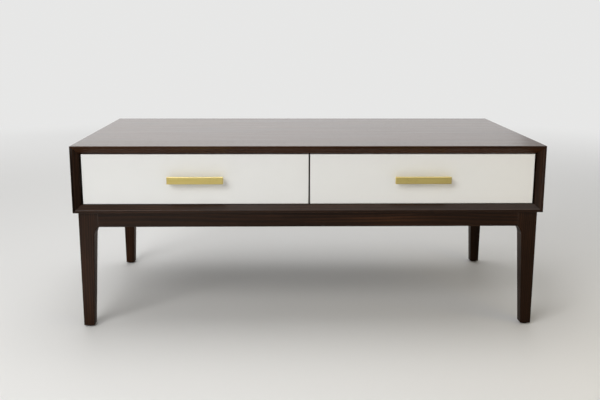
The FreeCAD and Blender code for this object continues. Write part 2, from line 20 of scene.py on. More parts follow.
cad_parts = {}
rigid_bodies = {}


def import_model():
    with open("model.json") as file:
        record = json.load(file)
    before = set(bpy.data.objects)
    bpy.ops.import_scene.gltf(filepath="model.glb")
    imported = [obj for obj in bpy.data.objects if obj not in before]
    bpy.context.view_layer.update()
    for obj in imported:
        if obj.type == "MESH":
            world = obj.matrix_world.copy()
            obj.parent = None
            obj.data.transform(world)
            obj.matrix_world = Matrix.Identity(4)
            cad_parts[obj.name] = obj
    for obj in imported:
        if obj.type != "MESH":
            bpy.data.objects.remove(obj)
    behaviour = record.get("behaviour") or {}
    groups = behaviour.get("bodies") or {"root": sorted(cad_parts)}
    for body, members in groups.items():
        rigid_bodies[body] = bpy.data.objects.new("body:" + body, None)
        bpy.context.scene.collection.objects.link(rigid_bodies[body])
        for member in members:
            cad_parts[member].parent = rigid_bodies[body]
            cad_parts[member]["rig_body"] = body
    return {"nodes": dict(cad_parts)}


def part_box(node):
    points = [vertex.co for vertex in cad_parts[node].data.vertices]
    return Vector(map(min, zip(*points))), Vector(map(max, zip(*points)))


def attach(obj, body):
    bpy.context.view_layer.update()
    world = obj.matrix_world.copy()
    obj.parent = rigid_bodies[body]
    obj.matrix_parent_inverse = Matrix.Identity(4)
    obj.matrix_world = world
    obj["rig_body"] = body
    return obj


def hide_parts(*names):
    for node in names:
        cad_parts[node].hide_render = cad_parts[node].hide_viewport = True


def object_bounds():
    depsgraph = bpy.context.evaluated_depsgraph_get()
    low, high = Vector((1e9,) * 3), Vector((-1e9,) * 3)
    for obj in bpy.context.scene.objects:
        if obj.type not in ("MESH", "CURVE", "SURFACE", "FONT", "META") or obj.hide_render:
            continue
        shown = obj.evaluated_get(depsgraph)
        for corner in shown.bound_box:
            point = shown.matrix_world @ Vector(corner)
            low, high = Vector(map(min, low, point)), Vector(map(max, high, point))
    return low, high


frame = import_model()
CAD_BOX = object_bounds()

Colour = tuple[float, float, float]
Span = tuple[float, float]
Operand = Union["Wire", float]

log = logging.getLogger("coffee_table")


class Grain(Enum):
    """The way the fibres of a board run."""

    SIDEWAYS = "XYZ"
    INWARDS = "YXZ"
    UPRIGHT = "ZXY"

    def order(self) -> tuple[int, int, int]:
        """The axis along the fibres, then the two axes across them."""
        return tuple("XYZ".index(letter) for letter in self.value)


class Side(Enum):
    """One half of the table, as seen by someone who faces the drawers."""

    LEFT = "left"
    RIGHT = "right"


@dataclass(frozen=True)
class Pattern:
    """Smooth noise at one scale.

    The pitch is in features per metre along each axis, detail counts the finer layers that
    are added, and rough is how strong each of them is.
    """

    pitch: tuple[float, float, float]
    detail: float = 2.0
    rough: float = 0.5

    @classmethod
    def even(cls, pitch: float, detail: float = 2.0, rough: float = 0.5) -> "Pattern":
        """A pattern with the same pitch along every axis."""
        return cls((pitch, pitch, pitch), detail, rough)


class Wire:
    """A shader socket that can be written in sums and products."""

    def __init__(self, shader: "Shader", socket: bpy.types.NodeSocket) -> None:
        """Hold a socket of a node in a shader's tree."""
        self.shader = shader
        self.socket = socket

    def _math(self, operation: str, *operands: Operand) -> "Wire":
        """Add a Math node.

        Args:
            operation: the Math node's operation.
            operands: its inputs in order, each a wire or a number.

        Returns:
            The wire on the node's result.
        """
        return self.shader.node("ShaderNodeMath", {"operation": operation}, dict(enumerate(operands)))

    def __add__(self, other: Operand) -> "Wire":
        """This plus another."""
        return self._math("ADD", self, other)

    def __radd__(self, other: Operand) -> "Wire":
        """A number plus this."""
        return self._math("ADD", other, self)

    def __sub__(self, other: Operand) -> "Wire":
        """This less another."""
        return self._math("SUBTRACT", self, other)

    def __rsub__(self, other: Operand) -> "Wire":
        """A number less this."""
        return self._math("SUBTRACT", other, self)

    def __mul__(self, other: Operand) -> "Wire":
        """This times another."""
        return self._math("MULTIPLY", self, other)

    def __rmul__(self, other: Operand) -> "Wire":
        """A number times this."""
        return self._math("MULTIPLY", other, self)

    def __truediv__(self, other: Operand) -> "Wire":
        """This over another."""
        return self._math("DIVIDE", self, other)

    def __rtruediv__(self, other: Operand) -> "Wire":
        """A number over this."""
        return self._math("DIVIDE", other, self)

    def lower(self, other: Operand) -> "Wire":
        """The lower of this and another."""
        return self._math("MINIMUM", self, other)

    def higher(self, other: Operand) -> "Wire":
        """The higher of this and another."""
        return self._math("MAXIMUM", self, other)

    def floor(self) -> "Wire":
        """The whole number at or below this."""
        return self._math("FLOOR", self)

    def fraction(self) -> "Wire":
        """What is left above the whole number."""
        return self._math("FRACT", self)

    def root(self) -> "Wire":
        """The square root."""
        return self._math("SQRT", self)

    def swing(self) -> "Wire":
        """How far a value from 0 to 1 lies above the middle."""
        return self - 0.5

    def rise(self, low: float, high: float) -> "Wire":
        """A smooth step from 0 at low to 1 at high."""
        sockets = {"Value": self, "From Min": low, "From Max": high}
        return self.shader.node("ShaderNodeMapRange", {"interpolation_type": "SMOOTHSTEP"}, sockets)

    def also(self, output: str) -> "Wire":
        """Another output of the same node."""
        return Wire(self.shader, self.socket.node.outputs[output])


class Shader:
    """A node tree that is being written."""

    def __init__(self, tree: bpy.types.NodeTree) -> None:
        """Start from an empty tree."""
        tree.nodes.clear()
        self.tree = tree

    @classmethod
    def of_material(cls, name: str) -> tuple[bpy.types.Material, "Shader"]:
        """Make a material and the shader that writes its nodes.

        Args:
            name: the material's name.

        Returns:
            The material and its shader.
        """
        material = bpy.data.materials.new(name)
        material.use_nodes = True
        return material, cls(material.node_tree)

    def node(
        self,
        kind: str,
        settings: Mapping[str, Any] | None = None,
        sockets: Mapping[str | int, Any] | None = None,
        output: str | int = 0,
    ) -> Wire:
        """Add one node.

        Args:
            kind: the node's type.
            settings: attributes that are set first; "stops" fills a colour ramp.
            sockets: input names or numbers with a wire or a plain value.
            output: the output that the wire is taken from.

        Returns:
            The wire on that output, or on the first input of a node that ends the tree.
        """
        made = self.tree.nodes.new(kind)
        for name, value in (settings or {}).items():
            if name == "stops":
                self._fill_ramp(made.color_ramp, value)
            else:
                setattr(made, name, value)
        for key, value in (sockets or {}).items():
            if isinstance(value, Wire):
                self.tree.links.new(value.socket, made.inputs[key])
            else:
                made.inputs[key].default_value = value
        return Wire(self, made.outputs[output]) if len(made.outputs) else Wire(self, made.inputs[0])

    @staticmethod
    def _fill_ramp(ramp: bpy.types.ColorRamp, stops: Sequence[tuple[float, Colour]]) -> None:
        """Set a colour ramp's stops.

        Args:
            ramp: the ramp, which has two stops of its own.
            stops: the place and colour of each stop, from low to high.
        """
        while len(ramp.elements) < len(stops):
            ramp.elements.new(1.0)
        for element, (place, colour) in zip(ramp.elements, stops):
            element.position = place
            element.color = (*colour, 1.0)

    def place(self) -> Wire:
        """The point on the piece, in metres from the table's origin."""
        return self.node("ShaderNodeTexCoord", output="Object")

    def axes(self, place: Wire) -> tuple[Wire, Wire, Wire]:
        """The three lengths of a vector."""
        first = self.node("ShaderNodeSeparateXYZ", sockets={0: place})
        return first, first.also("Y"), first.also("Z")

    def vector(self, *parts: Operand) -> Wire:
        """A vector of three lengths."""
        return self.node("ShaderNodeCombineXYZ", sockets=dict(enumerate(parts)))

    def stretched(self, place: Wire, factors: Sequence[float]) -> Wire:
        """A vector with each length multiplied by its own factor."""
        return self.node("ShaderNodeVectorMath", {"operation": "MULTIPLY"}, {0: place, 1: factors})

    def noise(self, place: Wire, pattern: Pattern) -> Wire:
        """Smooth noise.

        Args:
            place: where it is read.
            pattern: its scale.

        Returns:
            A value around one half.
        """
        sockets = {
            "Vector": self.stretched(place, pattern.pitch),
            "Scale": 1.0,
            "Detail": pattern.detail,
            "Roughness": pattern.rough,
        }
        return self.node("ShaderNodeTexNoise", {"noise_dimensions": "3D"}, sockets)

    def draw_of(self, number: Operand) -> Wire:
        """A fixed random value from 0 to 1 for each number."""
        return self.node("ShaderNodeTexWhiteNoise", {"noise_dimensions": "1D"}, {"W": number}, "Value")

    def mix(self, share: Operand, first: Any, second: Any) -> Wire:
        """Two colours mixed.

        Args:
            share: how much of the second shows.
            first: a wire or a colour.
            second: a wire or a colour.

        Returns:
            The wire on the mixed colour.
        """
        def socket(colour: Any) -> Any:
            """A wire as it is, or a colour with its alpha."""
            return colour if isinstance(colour, Wire) else (*colour, 1.0)

        sockets = {0: share, 6: socket(first), 7: socket(second)}
        return self.node("ShaderNodeMix", {"data_type": "RGBA"}, sockets, 2)

    def ramp(self, value: Wire, stops: Sequence[tuple[float, Colour]]) -> Wire:
        """A colour for each value."""
        return self.node("ShaderNodeValToRGB", {"stops": stops}, {0: value})

    def bump(self, height: Wire, depth: float, strength: float) -> Wire:
        """The normal of a relief.

        Args:
            height: the relief, from 0 to about 1.
            depth: how deep a height of 1 is, in metres.
            strength: how much of it shows.

        Returns:
            The wire on the bent normal.
        """
        sockets = {"Height": height, "Distance": depth, "Strength": strength}
        return self.node("ShaderNodeBump", sockets=sockets)

    def arris(self, place: Wire, box: tuple[Vector, Vector], width: float) -> Wire:
        """How near a point is to an edge of a box.

        Args:
            place: the point, on a face of the box.
            box: the box's lowest and highest corners.
            width: how far from an edge the value falls to 0.

        Returns:
            1 on an edge, 0 away from it.
        """
        depths = [(part - low).lower(high - part) for part, low, high in zip(self.axes(place), *box)]
        first, second, third = depths
        middle = first.lower(second).higher(first.higher(second).lower(third))
        return 1.0 - middle.rise(0.0, width)

    def surface(self, sockets: Mapping[str, Any]) -> None:
        """End the tree in one Principled surface.

        Args:
            sockets: the surface's input names with their wires or values.
        """
        shown = self.node("ShaderNodeBsdfPrincipled", sockets=sockets)
        self.node("ShaderNodeOutputMaterial", sockets={"Surface": shown})


@dataclass(frozen=True)
class Board:
    """One wooden board: its CAD node, the way its fibres run and how pale it came out.

    A lip is the axis and the place, in metres, of an arris on the board's front edge; that arris gets a
    painted highlight, a paler line in its colour.
    """

    node: str
    grain: Grain
    lift: float = 0.0
    lip: tuple[int, float] | None = None

    @property
    def box(self) -> tuple[Vector, Vector]:
        """The board's lowest and highest corners."""
        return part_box(self.node)

    def axes(self) -> tuple[int, int, int]:
        """Sort the axes by the way the board was sawn.

        Returns:
            The axis along the fibres, the wide axis across them and the thin one.
        """
        along, first, second = self.grain.order()
        size = self.box[1] - self.box[0]
        return (along, first, second) if size[first] >= size[second] else (along, second, first)


@dataclass(frozen=True)
class Wood:
    """Wood cut from the solid: rings about a far pith, streaks, pores and a clear coat.

    The tones run from the darkest to the palest, and all lengths are in metres. Patterns have
    their first axis along the fibres. A board is glued up from staves, and what a stave is
    like comes from its own draw. Worn arrises turn to the paler wear tone, which along a
    board's lip is a painted highlight.
    """

    slot: str
    tones: tuple[Colour, Colour, Colour, Colour]
    pore_tone: Colour
    # paler tone of worn arrises; along a board's lip it is a painted highlight
    wear_and_highlight_tone: Colour
    tone_stops: tuple[float, float, float, float] = (0.28, 0.44, 0.58, 0.76)
    middle_tone: float = 0.5

    along_draw: Span = (2.0, 9.0)
    stave_draw: Span = (0.1, 0.6)
    luck_draw: Span = (10.0, 90.0)
    stave_width: float = 0.118
    stave_spread: float = 0.10
    stave_shift: float = 7.0
    pith_spread: float = 0.07
    pith_depth: float = 0.03
    pith_depth_spread: float = 0.05

    ring_pitch: float = 0.0052
    ring_bend: Pattern = Pattern((1.1, 6.0, 6.0))
    ring_bend_depth: float = 0.034
    ring_ripple: Pattern = Pattern((7.0, 55.0, 55.0))
    ring_ripple_depth: float = 0.0022
    ring_rise: Span = (0.15, 0.86)
    ring_fall: Span = (0.90, 1.0)
    ring_mean: float = 0.4
    ring_share: float = 0.14
    ring_height: float = 0.28

    streak: Pattern = Pattern((2.6, 48.0, 48.0), 5.0, 0.66)
    streak_share: float = 0.46
    streak_height: float = 0.25
    cloud: Pattern = Pattern((3.2, 11.0, 11.0), 3.0, 0.55)
    cloud_share: float = 0.42
    fibre: Pattern = Pattern((12.0, 520.0, 520.0), 3.0, 0.6)
    fibre_share: float = 0.20
    fibre_height: float = 0.30
    fibre_roughness: float = 0.06
    pore: Pattern = Pattern((85.0, 1500.0, 1500.0), 1.0)
    pore_edge: Span = (0.60, 0.72)
    pore_share: float = 0.55
    pore_depth: float = 0.55
    pore_roughness: float = 0.10
    pore_coat_loss: float = 0.6

    wear: Pattern = Pattern.even(40.0, 3.0)
    wear_edge: Span = (0.35, 0.75)
    worn_width: float = 0.0022
    worn_share: float = 0.30
    # width of the painted highlight line along a board's lip
    lip_width: float = 0.0012
    lip_setback: float = 0.0004

    roughness: float = 0.33
    roughness_spread: float = 0.12
    relief: float = 0.00014
    relief_strength: float = 0.55
    coat: float = 0.06
    arris_coat: float = 0.0
    coat_roughness: float = 0.20
    specular: float = 0.17
    specular_tint: Colour = (1.0, 1.0, 1.0)

    def material(self, board: Board) -> bpy.types.Material:
        """Write the finish of one board, whose box and name give it its own figure.

        Args:
            board: the board.

        Returns:
            The material.
        """
        material, shader = Shader.of_material(f"{self.slot}_{board.node}")
        place = shader.place()
        parts = shader.axes(place)
        long_axis, flat_axis, thick_axis = board.axes()
        start = board.box[0]
        draw = random.Random(board.node)
        along = parts[long_axis] + draw.uniform(*self.along_draw)
        across = (parts[flat_axis] - start[flat_axis]) / self.stave_width
        stave = (across + draw.uniform(*self.stave_draw)).floor()
        luck = shader.draw_of(stave + draw.uniform(*self.luck_draw))
        flat = parts[flat_axis] - start[flat_axis] - stave * self.stave_width
        flat = flat + luck.swing() * self.pith_spread
        thick = parts[thick_axis] - start[thick_axis] + self.pith_depth + self.pith_depth_spread * luck
        solid = shader.vector(along + luck * self.stave_shift, flat, thick)

        rings = self._rings(shader, solid, flat, thick)
        streaks = shader.noise(solid, self.streak)
        fibres = shader.noise(solid, self.fibre)
        clouds = shader.noise(solid, self.cloud)
        pores = shader.noise(solid, self.pore).rise(*self.pore_edge)
        # the arris mask holds real wear on the box arrises and a painted highlight on the lip's arris
        arris = self._arris(shader, place, board)
        worn = arris * shader.noise(place, self.wear).rise(*self.wear_edge)

        tone = (
            self.middle_tone + board.lift
            + self.ring_share * (rings - self.ring_mean)
            + self.streak_share * streaks.swing()
            + self.cloud_share * clouds.swing()
            + self.fibre_share * fibres.swing()
            + self.stave_spread * luck.swing()
        )
        colour = shader.ramp(tone, list(zip(self.tone_stops, self.tones)))
        colour = shader.mix(pores * self.pore_share, colour, self.pore_tone)
        # paler worn arrises, and a painted highlight line along the lip
        colour = shader.mix(worn * self.worn_share, colour, self.wear_and_highlight_tone)
        roughness = (
            self.roughness
            + self.roughness_spread * streaks.swing()
            + self.pore_roughness * pores
            + self.fibre_roughness * fibres.swing()
        )
        height = (
            self.ring_height * rings
            + self.fibre_height * fibres.swing()
            + self.streak_height * streaks.swing()
            - self.pore_depth * pores
        )
        shader.surface({
            "Base Color": colour,
            "Roughness": roughness,
            "Normal": shader.bump(height, self.relief, self.relief_strength),
            "Specular IOR Level": self.specular,
            "Specular Tint": (*self.specular_tint, 1.0),
            "Coat Weight": self.coat * (1.0 - self.pore_coat_loss * pores) + self.arris_coat * arris,
            "Coat Roughness": self.coat_roughness,
        })
        return material

    def _arris(self, shader: Shader, place: Wire, board: Board) -> Wire:
        """The arrises of a board's box, and of its lip if it has one.

        Args:
            shader: the tree that they are added to.
            place: the point on the board.
            board: the board.

        Returns:
            1 on an arris, 0 away from it.
        """
        outer = shader.arris(place, board.box, self.worn_width)
        if board.lip is None:
            return outer
        # the lip's arris is painted paler: a painted highlight line
        axis, at = board.lip
        parts = shader.axes(place)
        aside = (parts[axis] - at).higher(at - parts[axis])
        behind = parts[1] - board.box[0].y
        near_lip = 1.0 - aside.rise(0.0, self.lip_width)
        near_front = 1.0 - behind.rise(self.lip_setback, self.lip_width)
        return outer.higher(near_lip * near_front)

    def _rings(self, shader: Shader, solid: Wire, flat: Wire, thick: Wire) -> Wire:
        """The growth rings, slow to rise and quick to fall.

        Args:
            shader: the tree that they are added to.
            solid: the point in the log.
            flat: its distance from the pith across the board.
            thick: its distance from the pith through the board.

        Returns:
            A value from 0 to 1.
        """
        bend = self.ring_bend_depth * shader.noise(solid, self.ring_bend).swing()
        ripple = self.ring_ripple_depth * shader.noise(solid, self.ring_ripple).swing()
        radius = (flat * flat + thick * thick).root() + bend + ripple
        phase = (radius / self.ring_pitch).fraction()
        return phase.rise(*self.ring_rise) * (1.0 - phase.rise(*self.ring_fall))


@dataclass(frozen=True)
class Lacquer:
    """White sprayed lacquer: a satin film with a faint orange peel, thinner on the arrises."""

    slot: str = "white_lacquer"
    film: Colour = (0.815, 0.821, 0.814)
    shade: Colour = (0.797, 0.800, 0.788)
    cloud: Pattern = Pattern((4.0, 4.0, 9.0), 3.0, 0.55)
    edge: Colour = (0.700, 0.680, 0.630)
    edge_width: float = 0.0025
    edge_share: float = 0.35
    edge_roughness: float = 0.05
    roughness: float = 0.33
    smear: Pattern = Pattern((9.0, 9.0, 26.0), 4.0, 0.6)
    smear_roughness: float = 0.12
    peel: Pattern = Pattern.even(620.0, 1.0, 0.4)
    peel_height: float = 0.5
    flow: Pattern = Pattern.even(70.0, 1.0, 0.5)
    flow_height: float = 0.5
    dust: Pattern = Pattern.even(900.0, 0.0)
    dust_edge: Span = (0.80, 0.86)
    dust_height: float = 0.3
    relief: float = 0.00003
    relief_strength: float = 0.5
    specular: float = 0.5
    coat: float = 0.15
    coat_spread: float = 0.10
    coat_roughness: float = 0.12

    def material(self, panel: str) -> bpy.types.Material:
        """Write the finish of one drawer front.

        Args:
            panel: the CAD node, whose box gives the arrises.

        Returns:
            The material.
        """
        material, shader = Shader.of_material(f"{self.slot}_{panel}")
        place = shader.place()
        clouds = shader.noise(place, self.cloud)
        smears = shader.noise(place, self.smear)
        peel = shader.noise(place, self.peel)
        flow = shader.noise(place, self.flow)
        dust = shader.noise(place, self.dust).rise(*self.dust_edge)
        edge = shader.arris(place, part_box(panel), self.edge_width)
        colour = shader.mix(clouds, self.film, self.shade)
        colour = shader.mix(edge * self.edge_share, colour, self.edge)
        roughness = self.roughness + self.smear_roughness * smears.swing() + self.edge_roughness * edge
        height = self.peel_height * peel + self.flow_height * flow + self.dust_height * dust
        shader.surface({
            "Base Color": colour,
            "Roughness": roughness,
            "Normal": shader.bump(height, self.relief, self.relief_strength),
            "Specular IOR Level": self.specular,
            "Coat Weight": self.coat + self.coat_spread * clouds,
            "Coat Roughness": self.coat_roughness,
        })
        return material


@dataclass(frozen=True)
class Brass:
    """Brushed brass under a thin lacquer: fine lines, a little patina, bright arrises."""

    slot: str = "brushed_brass"
    bright: Colour = (0.920, 0.765, 0.295)
    deep: Colour = (0.840, 0.672, 0.220)
    tone_edge: Span = (0.32, 0.68)
    line: Pattern = Pattern((14.0, 1500.0, 1500.0), 3.0, 0.65)
    line_share: float = 0.65
    line_roughness: float = 0.22
    band: Pattern = Pattern((5.0, 240.0, 240.0))
    band_share: float = 0.35
    patina: Colour = (0.520, 0.375, 0.120)
    stain: Pattern = Pattern.even(55.0, 4.0, 0.6)
    stain_edge: Span = (0.50, 0.78)
    stain_share: float = 0.20
    stain_roughness: float = 0.12
    stain_dulling: float = 0.06
    worn: Colour = (0.930, 0.780, 0.450)
    worn_share: float = 0.45
    arris_width: float = 0.0014
    arris_polish: float = 0.08
    roughness: float = 0.36
    relief: float = 0.00002
    relief_strength: float = 0.35
    anisotropy: float = 0.35

    def material(self, piece: str) -> bpy.types.Material:
        """Write the finish of a pull's bar or posts.

        Args:
            piece: the CAD node, whose box gives the arrises.

        Returns:
            The material.
        """
        material, shader = Shader.of_material(f"{self.slot}_{piece}")
        place = shader.place()
        lines = shader.noise(place, self.line)
        bands = shader.noise(place, self.band)
        stains = shader.noise(place, self.stain).rise(*self.stain_edge)
        arris = shader.arris(place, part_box(piece), self.arris_width)
        tone = (self.line_share * lines + self.band_share * bands).rise(*self.tone_edge)
        colour = shader.mix(tone, self.deep, self.bright)
        colour = shader.mix(stains * self.stain_share, colour, self.patina)
        colour = shader.mix(arris * self.worn_share, colour, self.worn)
        roughness = (
            self.roughness
            + self.line_roughness * lines.swing()
            + self.stain_roughness * stains
            - self.arris_polish * arris
        )
        shader.surface({
            "Base Color": colour,
            "Metallic": 1.0 - self.stain_dulling * stains,
            "Roughness": roughness,
            "Normal": shader.bump(lines, self.relief, self.relief_strength),
            "Anisotropic": self.anisotropy,
        })
        return material


@dataclass(frozen=True)
class Zinc:
    """Bright zinc plate on rolled steel: spangle, rolling lines and a faint rainbow cast."""

    slot: str = "zinc_steel"
    plate: Colour = (0.610, 0.620, 0.635)
    plate_share: float = 0.72
    dull: Colour = (0.450, 0.455, 0.465)
    blue: Colour = (0.560, 0.610, 0.690)
    straw: Colour = (0.680, 0.630, 0.500)
    cast: Pattern = Pattern((18.0, 6.0, 18.0), 3.0)
    cast_edge: Span = (0.40, 0.62)
    spangle_pitch: float = 260.0
    facet_share: float = 0.22
    facet_roughness: float = 0.12
    facet_height: float = 0.4
    line: Pattern = Pattern((1300.0, 8.0, 1300.0), 2.0, 0.6)
    line_roughness: float = 0.12
    line_height: float = 0.6
    grime: Pattern = Pattern((60.0, 14.0, 60.0), 4.0, 0.6)
    grime_edge: Span = (0.52, 0.80)
    grime_share: float = 0.38
    grime_roughness: float = 0.14
    grime_dulling: float = 0.10
    roughness: float = 0.33
    relief: float = 0.00002
    relief_strength: float = 0.35

    def material(self, piece: str) -> bpy.types.Material:
        """Write the finish of a rail, a cage with its balls, or a set of screws.

        Args:
            piece: the CAD node that it is for.

        Returns:
            The material.
        """
        material, shader = Shader.of_material(f"{self.slot}_{piece}")
        place = shader.place()
        cells = {"Vector": place, "Scale": self.spangle_pitch}
        spangle = shader.node("ShaderNodeTexVoronoi", {"feature": "F1"}, cells, "Color")
        facet = shader.axes(spangle)[0]
        lines = shader.noise(place, self.line)
        cast = shader.noise(place, self.cast).rise(*self.cast_edge)
        grime = shader.noise(place, self.grime).rise(*self.grime_edge)
        colour = shader.mix(cast, self.blue, self.straw)
        colour = shader.mix(self.plate_share, colour, self.plate)
        colour = shader.mix(self.facet_share * facet + self.grime_share * grime, colour, self.dull)
        roughness = (
            self.roughness
            + self.facet_roughness * facet.swing()
            + self.line_roughness * lines.swing()
            + self.grime_roughness * grime
        )
        height = self.line_height * lines + self.facet_height * facet
        shader.surface({
            "Base Color": colour,
            "Metallic": 1.0 - self.grime_dulling * grime,
            "Roughness": roughness,
            "Normal": shader.bump(height, self.relief, self.relief_strength),
        })
        return material


@dataclass(frozen=True)
class Nylon:
    """Moulded dark nylon: a fine grain, scuffed pale where it slides on the floor."""

    slot: str = "glide_nylon"
    body: Colour = (0.014, 0.013, 0.012)
    scuffed: Colour = (0.090, 0.085, 0.080)
    scuff_height: float = 0.0012
    scuff_roughness: float = 0.10
    scratch: Pattern = Pattern((260.0, 2400.0, 900.0), 2.0, 0.6)
    scratch_edge: Span = (0.52, 0.70)
    scratch_depth: float = 0.6
    grain: Pattern = Pattern.even(1600.0)
    grain_roughness: float = 0.16
    roughness: float = 0.52
    relief: float = 0.00005
    relief_strength: float = 0.4
    specular: float = 0.45

    def material(self, piece: str) -> bpy.types.Material:
        """Write the finish of the glides.

        Args:
            piece: the CAD node that it is for.

        Returns:
            The material.
        """
        material, shader = Shader.of_material(f"{self.slot}_{piece}")
        place = shader.place()
        grain = shader.noise(place, self.grain)
        scratches = shader.noise(place, self.scratch).rise(*self.scratch_edge)
        low = 1.0 - shader.axes(place)[2].rise(0.0, self.scuff_height)
        roughness = self.roughness + self.grain_roughness * grain.swing() + self.scuff_roughness * low
        height = grain - self.scratch_depth * low * scratches
        shader.surface({
            "Base Color": shader.mix(low * scratches, self.body, self.scuffed),
            "Roughness": roughness,
            "Normal": shader.bump(height, self.relief, self.relief_strength),
            "Specular IOR Level": self.specular,
        })
        return material


STAINED_WOOD = Wood(
    slot="stained_wood",
    tones=(
        (0.0055, 0.0024, 0.0013),
        (0.0115, 0.0048, 0.0023),
        (0.0215, 0.0086, 0.0038),
        (0.0450, 0.0170, 0.0066),
    ),
    pore_tone=(0.0040, 0.0020, 0.0013),
    wear_and_highlight_tone=(0.0900, 0.0400, 0.0170),
    coat=0.30,
    arris_coat=0.60,
    specular=0.10,
    specular_tint=(0.85, 0.56, 0.38),
)
BOX_WOOD = Wood(
    slot="box_wood",
    tones=((0.480, 0.330, 0.185), (0.570, 0.415, 0.250), (0.630, 0.475, 0.300), (0.690, 0.545, 0.370)),
    pore_tone=(0.340, 0.215, 0.110),
    wear_and_highlight_tone=(0.760, 0.640, 0.470),
    ring_pitch=0.0068,
    ring_share=0.10,
    streak_share=0.38,
    pore_share=0.30,
    roughness=0.48,
    coat=0.05,
)
BOX_PLY = replace(BOX_WOOD, ring_pitch=0.0125, ring_share=0.13, stave_width=1.0, pore_share=0.20)
BARE_HARDWOOD = Wood(
    slot="bare_hardwood",
    tones=((0.380, 0.225, 0.110), (0.500, 0.325, 0.175), (0.580, 0.400, 0.230), (0.650, 0.480, 0.300)),
    pore_tone=(0.260, 0.145, 0.070),
    wear_and_highlight_tone=(0.700, 0.560, 0.390),
    ring_pitch=0.0040,
    pore_share=0.45,
    roughness=0.62,
    relief=0.00030,
    coat=0.0,
)
WHITE_LACQUER = Lacquer()
BRUSHED_BRASS = Brass()
ZINC_STEEL = Zinc()
GLIDE_NYLON = Nylon()


@dataclass(frozen=True)
class Easing:
    """How a board's sharp arrises are softened, as with a few strokes of fine paper.

    Lengths are in metres and angles in radians. Points within the weld are one point, faces
    within the flat angle are one face, edges over the crease are eased if they are not too
    short, and what is left over the crisp angle keeps a hard edge.
    """

    width: float = 0.0004
    segments: int = 2
    shortest: float = 0.010
    weld: float = 1e-6
    flat: float = math.radians(0.2)
    crease: float = math.radians(35.0)
    crisp: float = math.radians(50.0)
    face_weight: int = 100

    def board(self, node: str) -> bpy.types.Object:
        """Copy a CAD board with its long sharp edges eased.

        Args:
            node: the CAD node.

        Returns:
            The new piece, which rides on the node's body and stands for it.
        """
        source = frame["nodes"][node]
        work = bmesh.new()
        work.from_mesh(source.data)
        bmesh.ops.remove_doubles(work, verts=work.verts, dist=self.weld)
        bmesh.ops.dissolve_limit(work, angle_limit=self.flat, verts=work.verts, edges=work.edges)
        sharp = [edge for edge in work.edges if self._is_arris(edge)]
        bmesh.ops.bevel(
            work,
            geom=sharp,
            offset=self.width,
            offset_type="OFFSET",
            segments=self.segments,
            profile=0.5,
            affect="EDGES",
            clamp_overlap=False,
        )
        mesh = bpy.data.meshes.new(f"{node}_eased")
        work.to_mesh(mesh)
        work.free()
        mesh.shade_smooth()
        mesh.set_sharp_from_angle(angle=self.crisp)
        piece = bpy.data.objects.new(f"{node}_eased", mesh)
        bpy.context.scene.collection.objects.link(piece)
        normals = piece.modifiers.new("flat_faces_first", "WEIGHTED_NORMAL")
        normals.keep_sharp = True
        normals.weight = self.face_weight
        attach(piece, source["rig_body"])
        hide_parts(node)
        return piece

    def _is_arris(self, edge: bmesh.types.BMEdge) -> bool:
        """Tell a long, sharp, outward edge from the others.

        Args:
            edge: an edge of a board.

        Returns:
            Whether it is eased.
        """
        if not edge.is_manifold or not edge.is_convex or edge.calc_length() < self.shortest:
            return False
        return edge.calc_face_angle() > self.crease


@dataclass
class Assembly:
    """Pieces that belong together, and how they are finished."""

    easing: Easing = field(default_factory=Easing)

    def wood(self, finish: Wood, *boards: Board) -> None:
        """Ease boards and give them a wood finish.

        Args:
            finish: the wood.
            boards: the boards that are made of it.
        """
        for board in boards:
            self.paint(self.easing.board(board.node), finish.material(board), finish.slot)

    def solid(self, nodes: Sequence[str], write: Callable[[str], bpy.types.Material], slot: str) -> None:
        """Give CAD nodes that keep their own meshes a finish.

        Args:
            nodes: the CAD nodes.
            write: what writes the material of one node.
            slot: the record's material slot.
        """
        for node in nodes:
            self.paint(frame["nodes"][node], write(node), slot)

    @staticmethod
    def paint(piece: bpy.types.Object, material: bpy.types.Material, slot: str) -> None:
        """Put a material on a piece.

        Args:
            piece: the piece, new or from the frame.
            material: its finish.
            slot: the record's material slot that the finish stands for; not used.
        """
        if piece.material_slots:
            for place in piece.material_slots:
                place.material = material
        else:
            piece.data.materials.append(material)
        log.info("%s: %s", piece.name, material.name)


@dataclass
class Case(Assembly):
    """The mitred case, its back and the divider between the drawers."""

    lip: float = 0.007
    top_lift: float = 0.23

    def dress(self) -> None:
        """Ease and finish the case's boards and fasteners."""
        low, high = CAD_BOX
        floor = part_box("bottom_panel")[0].z
        self.wood(
            STAINED_WOOD,
            Board("top_panel", Grain.SIDEWAYS, self.top_lift, (2, high.z - self.lip)),
            Board("bottom_panel", Grain.SIDEWAYS, lip=(2, floor + self.lip)),
            Board("left_side_panel", Grain.UPRIGHT, lip=(0, low.x + self.lip)),
            Board("right_side_panel", Grain.UPRIGHT, lip=(0, high.x - self.lip)),
            Board("back_panel", Grain.SIDEWAYS),
            Board("centre_divider", Grain.INWARDS),
        )
        for pins in (Board("mitre_splines", Grain.INWARDS), Board("dowels", Grain.SIDEWAYS)):
            self.paint(frame["nodes"][pins.node], BARE_HARDWOOD.material(pins), BARE_HARDWOOD.slot)
        self.solid(["back_panel_screws", "case_rail_screws"], ZINC_STEEL.material, ZINC_STEEL.slot)


